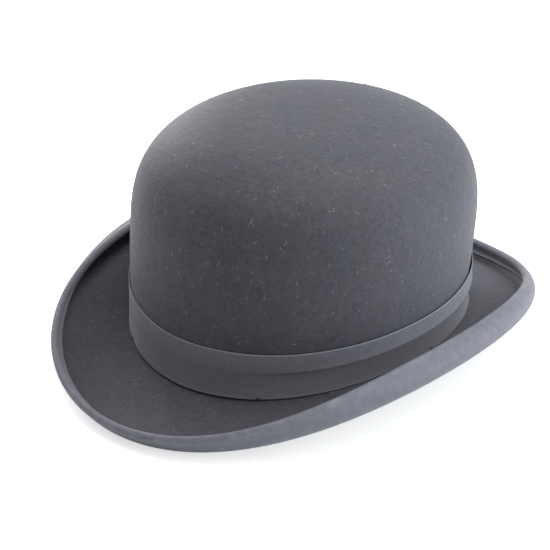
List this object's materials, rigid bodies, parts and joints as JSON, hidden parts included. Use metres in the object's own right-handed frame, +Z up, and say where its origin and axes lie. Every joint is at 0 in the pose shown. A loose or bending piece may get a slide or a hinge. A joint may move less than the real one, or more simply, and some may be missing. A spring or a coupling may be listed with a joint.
{
  "type": "bowler hat",
  "caption": "Stiff felt bowler hat: domed crown, rolled brim bound in ribbon, ribbon band with a flat bow, leather sweatband on a reed, satin lining.",
  "frame": {"origin": "on the surface the hat stands on, under the middle of its brim", "axes": "+Z up through the crown, -Y to the front of the hat, +X to the wearer's left"},
  "size_m": [0.238, 0.315, 0.1391],
  "materials": {
    "felt": "short brushed nap, matte with a soft sheen",
    "binding_ribbon": "fine cross-ribbed weave, soft sheen",
    "band_ribbon": "fine cross-ribbed weave, soft sheen",
    "small_ribbon": "fine cross-ribbed weave",
    "sweatband_leather": "semi-matte fine grain",
    "cane": "bare",
    "oilcloth": "coated, semi-gloss",
    "light_thread": "waxed thread",
    "dark_thread": "sewing thread",
    "lining_satin": "satin sheen",
    "ticket_paper": "blank, matte"
  },
  "bodies": {
    "root": {"felt_body": "felt", "brim_binding": "binding_ribbon", "hat_band": "band_ribbon", "bow_back_loops": "band_ribbon", "bow_front_loops": "band_ribbon", "bow_knot": "band_ribbon", "band_tack_1": "dark_thread", "band_tack_2": "dark_thread", "band_tack_3": "dark_thread", "band_tack_4": "dark_thread", "band_tack_5": "dark_thread", "bow_tack_front": "dark_thread", "bow_tack_rear": "dark_thread", "sweatband": "sweatband_leather", "sweatband_reed": "cane", "reed_welt": "oilcloth", "sweatband_thread": "light_thread", "sweatband_bow_loops": "small_ribbon", "sweatband_bow_knot": "small_ribbon", "size_ticket": "ticket_paper", "lining_side": "lining_satin", "lining_tip": "lining_satin", "lining_piping": "lining_satin"}
  },
  "joints": []
}
